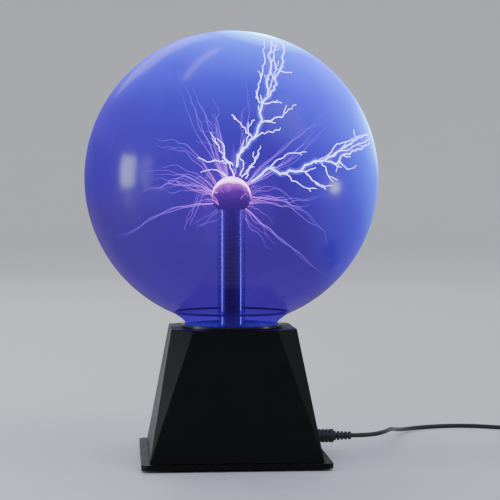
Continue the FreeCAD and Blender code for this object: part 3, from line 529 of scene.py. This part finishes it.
# The guide points of each branch in millimetres from the globe's centre (x, y, z), then its
# thickness at the start and at the end, in parts of the thickest.
ARCS = [
    # towards the top
    ([(1, -2, 8), (3, -4, 17), (12, -8, 27), (17, -10, 38), (16, -10, 45), (18, -8, 51),
      (22, -7, 55)], 1.0, 0.85),
    ([(22, -7, 55), (21, -5, 66), (24, -4, 74), (23, -3, 85), (26, -2, 98)], 0.8, 0.6),
    ([(22, -7, 55), (28, -6, 64), (27, -6, 69), (30, -5, 73), (33, -4, 85), (31, -3, 98)],
     0.75, 0.55),
    ([(18, -8, 51), (14, -5, 55), (17, -3, 66), (20, -2, 78), (19, -1, 98)], 0.45, 0.25),
    ([(22, -7, 55), (24, -2, 62), (28, 1, 74), (27, 2, 84), (29, 1, 98)], 0.4, 0.25),
    ([(18, -8, 51), (25, -10, 52), (31, -10, 51)], 0.45, 0.2),
    ([(17, -10, 38), (25, -13, 40), (31, -12, 41), (36, -10, 47), (41, -9, 50)], 0.5, 0.2),
    ([(12, -8, 27), (18, -10, 31), (25, -10, 31), (30, -12, 34)], 0.5, 0.2),
    ([(11, -8, 28), (4, -9, 35), (-2, -8, 43)], 0.5, 0.2),
    ([(4, -6, 1), (11, -6, 9), (15, -7, 16), (17, -8, 22)], 0.5, 0.22),
    ([(-1, -8, 1), (-4, -9, 9), (-9, -10, 14), (-8, -10, 21), (-13, -10, 27)], 0.45, 0.18),
    ([(3, -8, 2), (5, -10, 9), (2, -11, 14), (4, -11, 21)], 0.45, 0.2),
    ([(7, -6, 0), (9, -8, 8), (13, -9, 11), (12, -9, 18)], 0.4, 0.18),
    ([(-4, -6, -1), (-10, -8, 4), (-17, -9, 6), (-24, -10, 4)], 0.4, 0.15),
    ([(-2, -6, 9), (-8, -9, 14), (-14, -10, 25), (-17, -9, 31)], 0.5, 0.2),
    ([(-8, -9, 12), (-20, -12, 11), (-26, -12, 14)], 0.45, 0.18),
    ([(3, -4, 17), (8, -3, 22), (9, 0, 32), (12, 2, 40)], 0.4, 0.2),
    # towards the right
    ([(11, -4, -2), (18, -7, 3), (23, -9, 7), (30, -10, 3), (38, -11, 5), (44, -11, 5)],
     1.0, 0.9),
    ([(44, -11, 5), (47, -10, 9), (52, -10, 11), (59, -9, 12), (69, -8, 18), (77, -7, 23),
      (84, -5, 28), (97, -3, 31)], 0.9, 0.6),
    ([(59, -9, 12), (69, -6, 10), (73, -5, 16), (82, -4, 19), (90, -2, 23), (97, -1, 27)],
     0.7, 0.5),
    ([(52, -10, 11), (62, -5, 15), (70, -2, 24), (80, 0, 27), (96, 1, 33)], 0.4, 0.3),
    ([(69, -8, 18), (76, -9, 19), (84, -8, 24), (96, -5, 28)], 0.4, 0.25),
    ([(44, -11, 5), (50, -13, 1), (56, -14, -5), (65, -14, -5)], 0.55, 0.2),
    ([(33, -10, 3), (44, -14, -5), (50, -16, -9)], 0.45, 0.18),
    ([(58, -9, 11), (62, -11, 3), (66, -12, -2)], 0.4, 0.18),
    ([(70, -7, 12), (76, -10, 6), (82, -10, 9)], 0.4, 0.18),
    ([(23, -9, 7), (29, -10, 13), (36, -8, 17), (45, -8, 16)], 0.4, 0.2),
]
ARC_SHIFT = Vector((2.5, 0, 0))
ARC_RADIUS = 0.55
ARC_STEP = 2.3 * MM
ARC_WANDER = 0.95 * MM
ARC_SEED = 40

# Branches thicker than this have a halo, this many times as wide.
HALO_FROM = 0.6
HALO_WIDTH = 5.0

TWIG_RADIUS = 0.33
TWIG_TIP_RADIUS = 0.10 * MM
TWIG_STEP = 1.6 * MM
TWIG_WANDER = 0.35 * MM
TWIG_SEED = 900
# A branch has one twig for so many of its points.
POINTS_PER_TWIG = 6
SHORTEST_TWIG = 3
LONGEST_TWIG = 9
TWIG_BEND = 0.3


def scatter(chance, reach):
    """A vector whose three parts are drawn between -reach and reach."""
    return Vector([chance.uniform(-reach, reach) for _ in range(3)])


def inside_globe(point):
    """Keep a point of the discharge inside the glass."""
    offset = point - GLOBE
    if offset.length > ROOM:
        return GLOBE + offset.normalized() * ROOM
    return point


def jagged(points, step, wander, seed):
    """A broken line through guide points, with seeded jumps, kept inside the globe."""
    chance = random.Random(seed)
    line = [Vector(points[0])]
    for start, end in zip(points, points[1:]):
        count = max(1, round((end - start).length / step))
        for index in range(1, count + 1):
            spot = start.lerp(end, index / count)
            if index < count:
                spot += scatter(chance, 1) * wander
            line.append(spot)
    return [inside_globe(spot) for spot in line]


def taper(count, thick, thin):
    """Radii for count points, from thick at the first to thin at the last."""
    return [thick + (thin - thick) * (index / max(1, count - 1)) for index in range(count)]


def twigs(line, radius, seed):
    """Short side branches along a line."""
    chance = random.Random(seed)
    found = []
    for _ in range(max(1, len(line) // POINTS_PER_TWIG)):
        index = chance.randrange(1, len(line) - 1)
        ahead = (line[index + 1] - line[index - 1]).normalized()
        way = (ahead + scatter(chance, 1)).normalized()
        length = chance.uniform(SHORTEST_TWIG, LONGEST_TWIG) * MM
        bend = scatter(chance, 1) * TWIG_BEND
        end = line[index] + (way + bend).normalized() * length
        middle = line[index].lerp(end, 0.5) + bend * 2 * MM
        path = jagged([line[index], middle, end], TWIG_STEP, TWIG_WANDER, seed + index)
        found.append((path, taper(len(path), radius, TWIG_TIP_RADIUS)))
    return found


def add_arcs():
    cores = []
    halos = []
    for number, (guide, thick, thin) in enumerate(ARCS):
        points = [GLOBE + (Vector(point) + ARC_SHIFT) * MM for point in guide]
        line = jagged(points, ARC_STEP, ARC_WANDER, ARC_SEED + number)
        radii = taper(len(line), thick * ARC_RADIUS * MM, thin * ARC_RADIUS * MM)
        cores.append((line, radii))
        if thick > HALO_FROM:
            rooms = [GLOBE_RADIUS - (point - GLOBE).length for point in line]
            wide = [min(radius * HALO_WIDTH, room) for radius, room in zip(radii, rooms)]
            halos.append((line, wide))
        cores += twigs(line, thick * TWIG_RADIUS * MM, TWIG_SEED + number)

    core = tubes("discharge_arcs", cores)
    paint(core, Nodes("arc_core").finish_glow((0.62, 1.0, 0.75), 22.0, 1.0))

    halo = tubes("discharge_halo", halos, resolution=3)
    n = Nodes("arc_halo")
    fade = n.ramp(n.facing(), ((0.0, 0.30), (0.4, 0.16), (1.0, 0.0)))
    paint(halo, n.finish_glow((0.16, 0.42, 1.0), 3.2, fade))


# Discharge: the violet threads ----------------------------------------------------------

# Where the long threads end, in millimetres from the middle of the electrode.
THREAD_ENDS = [
    (-56, -8, 5), (-55, 10, 18), (-47, -14, 32), (-32, -10, 70), (-25, 8, 67), (-12, -18, 58),
    (13, 16, 73), (72, -6, 56), (60, 20, 50), (48, -24, 36), (64, -8, -26), (49, -16, -46),
    (62, 14, -4), (-30, -22, -17), (-72, 6, -27), (-20, 52, 46), (0, 60, 34), (-44, 48, 6),
    (46, 46, -6), (-24, 56, -20), (30, 50, -30), (-46, -40, 12),
]
THREAD_POINTS = 30
# The start of a thread, in parts of the electrode's radius.
THREAD_ROOT = 0.98
THREAD_LIFT = 5 * MM
THREAD_WANDER = 3.8 * MM
# Steps through the noise: from end to end, from strand to strand and from bundle to bundle.
LENGTH_STEP = 5.5
STRAND_STEP = 0.45
BUNDLE_STEPS = (3.7, 1.3)
THREAD_COVER = 0.22
THREAD_FADE = 0.085
NOISE_SEED = 11
THREAD_SEED = 7

# The long threads, in millimetres, with their lengths in parts of THREAD_ENDS.
STRANDS = 3
BUNDLE_BEND = 13
STRAND_BEND = 3
TIP_SPREAD = 4.5
TIP_REACH = (0.85, 1.2)
LONG_RADIUS = (0.20, 0.42)
LONG_TIP_RADIUS = 0.12

# The short threads, in millimetres. They follow the bundles' numbers from SHORT_BUNDLE on.
SHORT_THREADS = 14
SHORT_BUNDLE = 500
SHORT_LENGTH = (19, 34)
SHORT_BEND = 3
SHORT_RADIUS = 0.2
SHORT_TIP_RADIUS = 0.06
# They are spread over this part of the ball's height, which is 2, from its top down.
SHORT_ZONE = 1.6
GOLDEN_ANGLE = 2.39996


def streamer(end, bundle, strand, bend):
    """A faint thread that wanders from the electrode to its end, close to its own bundle."""
    along, across = BUNDLE_STEPS
    way = end.normalized()
    start = BULB + way * BULB_RADIUS * THREAD_ROOT
    side = way.orthogonal().normalized()
    turn = random.Random(bundle).uniform(0, FULL_TURN)
    side.rotate(Matrix.Rotation(turn, 3, way))
    line = []
    for index in range(THREAD_POINTS):
        part = index / (THREAD_POINTS - 1)
        bow = (side * bend + UP * THREAD_LIFT) * math.sin(math.pi * part)
        place = Vector((
            bundle * along + strand * STRAND_STEP, part * LENGTH_STEP, bundle * across))
        shake = noise.noise_vector(place) * THREAD_WANDER * math.sqrt(part)
        line.append(inside_globe(start.lerp(BULB + end, part) + bow + shake))
    return line


def long_threads(chance):
    """Bundles of threads that run together to each of THREAD_ENDS."""
    paths = []
    for bundle, end in enumerate(THREAD_ENDS):
        bend = chance.uniform(-BUNDLE_BEND, BUNDLE_BEND)
        for strand in range(STRANDS):
            spread = scatter(chance, TIP_SPREAD)
            tip = (Vector(end) * chance.uniform(*TIP_REACH) + spread) * MM
            own_bend = bend + chance.uniform(-STRAND_BEND, STRAND_BEND)
            line = streamer(tip, bundle, strand, own_bend * MM)
            thick = chance.uniform(*LONG_RADIUS) * MM
            paths.append((line, taper(len(line), thick, LONG_TIP_RADIUS * MM)))
    return paths


def short_threads(chance):
    """Single threads all round the electrode, except straight below it."""
    paths = []
    for index in range(SHORT_THREADS):
        lift = 1 - SHORT_ZONE * (index + 0.5) / SHORT_THREADS
        angle = index * GOLDEN_ANGLE
        flat = math.sqrt(1 - lift * lift)
        way = Vector((flat * math.cos(angle), flat * math.sin(angle), lift))
        tip = way * chance.uniform(*SHORT_LENGTH) * MM
        bend = chance.uniform(-SHORT_BEND, SHORT_BEND)
        line = streamer(tip, SHORT_BUNDLE + index, 0, bend * MM)
        paths.append((line, taper(len(line), SHORT_RADIUS * MM, SHORT_TIP_RADIUS * MM)))
    return paths


def add_threads(name, paths):
    piece = tubes(name, paths, resolution=1)
    n = Nodes(name)
    away = n.distance(BULB, THREAD_FADE)
    tone = n.ramp(away, (
        (0.12, (6.0, 1.6, 3.4)), (0.30, (2.6, 0.85, 3.2)), (0.60, (1.6, 0.65, 3.4)),
        (1.0, (0.8, 0.45, 3.2))))
    fade = n.ramp(away, (
        (0.15, 0.75 * THREAD_COVER), (0.3, THREAD_COVER), (0.7, 0.7 * THREAD_COVER),
        (1.0, 0.3 * THREAD_COVER)))
    paint(piece, n.finish_glow(tone, 1.6, fade))


def add_streamers():
    noise.seed_set(NOISE_SEED)
    chance = random.Random(THREAD_SEED)
    add_threads("streamers_long", long_threads(chance))
    add_threads("streamers_short", short_threads(chance))


# Discharge: soft glows ------------------------------------------------------------------


def add_electrode_halo():
    """A violet ball of light round the electrode."""
    radius = 0.034
    # just short of the lowest point, where the outline's end would fall on the axis
    lowest = -radius * 0.9999
    outline = arc_outline(radius, 0, lowest, 40)
    halo = link("electrode_halo", revolve("electrode_halo", outline, 64))
    halo.location = BULB
    n = Nodes("electrode_halo")
    fade = n.ramp(n.facing(), ((0.0, 0.10), (0.12, 0.07), (0.4, 0.025), (1.0, 0.0)))
    paint(halo, n.finish_glow((0.40, 0.14, 1.0), 1.6, fade))


def add_touch_glows():
    """Caps of pale light just inside the glass, where the branches meet it."""
    inset = 1.9 * MM
    cap_radius = GLOBE_RADIUS - inset
    reach = 0.032
    steps = 16
    for index, spot in enumerate(TOUCHES):
        way = (spot - GLOBE).normalized()
        outline = []
        for step in range(steps + 1):
            angle = reach / GLOBE_RADIUS * step / steps
            outline.append((cap_radius * math.sin(angle), cap_radius * math.cos(angle)))
        mesh = revolve("touch_glow", outline, 48)
        turn = way.to_track_quat("Z", "Y").to_matrix().to_4x4()
        mesh.transform(Matrix.Translation(GLOBE) @ turn)
        name = "touch_glow_%d" % (index + 1)
        cap = link(name, mesh)
        n = Nodes(name)
        fade = n.ramp(n.distance(GLOBE + way * cap_radius, reach), (
            (0.0, 0.95), (0.22, 0.60), (0.6, 0.18), (1.0, 0.0)))
        paint(cap, n.finish_glow((0.16, 0.70, 1.0), 4.5, fade))


add_globe_glass()
add_neck_ring()
add_stem()
add_electrode()
add_arcs()
add_streamers()
add_electrode_halo()
add_touch_glows()


# Carried-over CAD nodes ---------------------------------------------------------------

BLACK = (0.003, 0.003, 0.0034)
FINISHES = {
    "base_housing": dict(colour=BLACK, roughness=0.42, grain=1400, depth=0.22, edge=0.7 * MM,
                         gloss=0.12),
    "bottom_cover": dict(colour=BLACK, roughness=0.6, grain=1200, depth=0.4, edge=0.3 * MM),
    "neck_collar": dict(colour=BLACK, roughness=0.28, grain=1400, depth=0.1, edge=0.4 * MM),
    "rubber_foot": dict(colour=(0.02, 0.02, 0.02), roughness=0.8, grain=700, depth=0.5),
    "silicone_bead": dict(colour=(0.7, 0.71, 0.73), roughness=0.3, grain=120, depth=0.5),
    "exhaust_tip": dict(colour=(0.6, 0.65, 0.7), roughness=0.08, grain=50, depth=0.1),
    "electrode_filling": dict(colour=(0.3, 0.26, 0.34), roughness=0.5, metallic=1.0),
    "contact_spring": dict(colour=(0.9, 0.9, 0.95), roughness=0.3, metallic=1.0),
    "spring_cup": dict(colour=(0.7, 0.52, 0.24), roughness=0.3, metallic=1.0),
    "driver_board": dict(colour=(0.02, 0.16, 0.07), roughness=0.35, grain=300, coat=0.3),
    "ferrite_core": dict(colour=(0.06, 0.06, 0.065), roughness=0.55, grain=900, depth=0.4),
    "coil_bobbin": dict(colour=(0.8, 0.77, 0.7), roughness=0.5),
    "high_voltage_winding": dict(colour=(0.45, 0.18, 0.06), roughness=0.25, coat=0.6),
    "primary_winding": dict(colour=(0.62, 0.27, 0.1), roughness=0.3, metallic=0.8),
    "high_voltage_lead": dict(colour=(0.5, 0.03, 0.03), roughness=0.4),
    "heat_sink": dict(colour=(0.66, 0.67, 0.69), roughness=0.32, metallic=1.0),
    "power_transistor": dict(colour=(0.025, 0.025, 0.025), roughness=0.45),
    "capacitor": dict(colour=(0.02, 0.035, 0.16), roughness=0.3, coat=0.3),
    "film_capacitor": dict(colour=(0.45, 0.06, 0.04), roughness=0.25, coat=0.5),
    "resistors": dict(colour=(0.66, 0.52, 0.32), roughness=0.35),
    "control_chip": dict(colour=(0.02, 0.02, 0.022), roughness=0.5),
    "microphone": dict(colour=(0.6, 0.6, 0.6), roughness=0.3, metallic=1.0),
    "inlet_body": dict(colour=(0.015, 0.015, 0.015), roughness=0.5),
    "inlet_pin": dict(colour=(0.75, 0.68, 0.5), roughness=0.2, metallic=1.0),
    "switch_housing": dict(colour=BLACK, roughness=0.3, grain=1400, edge=0.3 * MM),
    "switch_rocker": dict(colour=(0.016, 0.016, 0.017), roughness=0.22, grain=900, edge=0.3 * MM),
    "switch_plunger": dict(colour=(0.8, 0.8, 0.78), roughness=0.4),
    "switch_contact_bar": dict(colour=(0.7, 0.5, 0.25), roughness=0.25, metallic=1.0),
    "switch_terminal": dict(colour=(0.75, 0.65, 0.42), roughness=0.25, metallic=1.0),
    "switch_wires": dict(colour=(0.5, 0.03, 0.03), roughness=0.4),
    "plug_sleeve": dict(colour=(0.8, 0.8, 0.82), roughness=0.15, metallic=1.0),
    "plug_core": dict(colour=(0.02, 0.02, 0.02), roughness=0.5),
    "plug_body": dict(colour=(0.013, 0.013, 0.014), roughness=0.4, grain=1100, edge=0.4 * MM),
    "plug_strain_relief": dict(colour=(0.013, 0.013, 0.014), roughness=0.42, grain=1100,
                               edge=0.2 * MM),
    "coil_tie": dict(colour=(0.03, 0.03, 0.033), roughness=0.5, edge=0.3 * MM),
    "adapter": dict(colour=(0.016, 0.016, 0.017), roughness=0.5, grain=900, depth=0.5,
                    edge=1.2 * MM),
    "adapter_prongs": dict(colour=(0.75, 0.7, 0.58), roughness=0.2, metallic=1.0),
    "adapter_strain_relief": dict(colour=(0.013, 0.013, 0.014), roughness=0.42, grain=1100,
                                  edge=0.3 * MM),
    "steel_screw": dict(colour=(0.5, 0.5, 0.51), roughness=0.28, metallic=1.0),
}
# Nodes whose names start alike share a finish. The first start that fits counts.
SHARED = (
    ("cover_screw", "steel_screw"), ("board_screws", "steel_screw"),
    ("transistor_screw", "steel_screw"), ("adapter_prongs", "adapter_prongs"),
    ("adapter_strain_relief", "adapter_strain_relief"), ("adapter", "adapter"),
    ("ferrite", "ferrite_core"), ("film", "film_capacitor"), ("capacitor", "capacitor"),
    ("rubber_foot", "rubber_foot"), ("switch_terminal", "switch_terminal"),
)


def finish_of(node):
    """The name of a node's finish, or None for a node that another piece replaces."""
    for start, finish in SHARED:
        if node.startswith(start):
            return finish
    return node if node in FINISHES else None


def paint_nodes():
    made = {}
    for name, piece in nodes.items():
        finish = finish_of(name)
        if finish is None:
            continue
        if finish not in made:
            made[finish] = solid_material(finish, **FINISHES[finish])
        paint(piece, made[finish])


paint_nodes()


# Room ---------------------------------------------------------------------------------

WINDOW_COLOUR = (0.85, 0.92, 1.0)


def add_floor():
    """A pale round floor whose far edge curves up."""
    inner = 0.6
    flat = 5.0
    bend = 1.6
    steps = 12
    outline = [(0, 0), (inner, 0), (flat, 0)]
    for step in range(1, steps + 1):
        angle = math.pi / 2 * step / steps
        outline.append((flat + bend * math.sin(angle), bend - bend * math.cos(angle)))
    floor = link("floor", revolve("floor", outline[::-1], 96), stage=True)
    paint(floor, solid_material(
        "pale_floor", (0.74, 0.74, 0.75), 0.55, grain=60, depth=0.02, spread=0.01))


def add_lamp(name, place, target, size, power, colour=(1, 1, 1), spread=math.pi):
    """A rectangular area light that shines from its place towards a target."""
    data = bpy.data.lights.new(name, "AREA")
    data.spread = spread
    data.shape = "RECTANGLE"
    data.size, data.size_y = size
    data.energy = power
    data.color = colour
    lamp = bpy.data.objects.new(name, data)
    lamp.location = place
    way = Vector(target) - Vector(place)
    lamp.rotation_euler = way.to_track_quat("-Z", "Y").to_euler()
    scene.collection.objects.link(lamp)


def add_lights():
    world = bpy.data.worlds.new("studio")
    world.use_nodes = True
    background = world.node_tree.nodes["Background"]
    background.inputs["Color"].default_value = (0.9, 0.93, 1.0, 1)
    background.inputs["Strength"].default_value = 0.75
    scene.world = world
    # the two panes that the globe mirrors on its left
    add_lamp("window", (-1.5, -0.06, 0.29), (0, 0, 0.16), (0.36, 0.44), 8, WINDOW_COLOUR)
    add_lamp("near_window", (-1.40, -0.52, 0.29), (0, 0, 0.16), (0.24, 0.50), 1.4,
             WINDOW_COLOUR)
    # a faint glint on the right, narrow enough to leave the floor dark
    add_lamp("low_lamp", (1.3, -0.22, 0.08), (0, 0, 0.18), (0.22, 0.12), 0.035,
             spread=math.radians(20))
    # the thin streaks on the globe's upper left
    add_lamp("strip", (-0.35, 0.30, 1.5), (0, 0, 0.15), (0.8, 0.025), 1.3)
    # soft light on everything
    add_lamp("rear_fill", (-0.6, 2.0, 1.5), (0, 0, 0.1), (1.2, 0.8), 9)
    add_lamp("fill", (1.6, -1.6, 2.2), (0, 0, 0.0), (1.6, 1.6), 12)


add_floor()
add_lights()

bpy.context.view_layer.update()
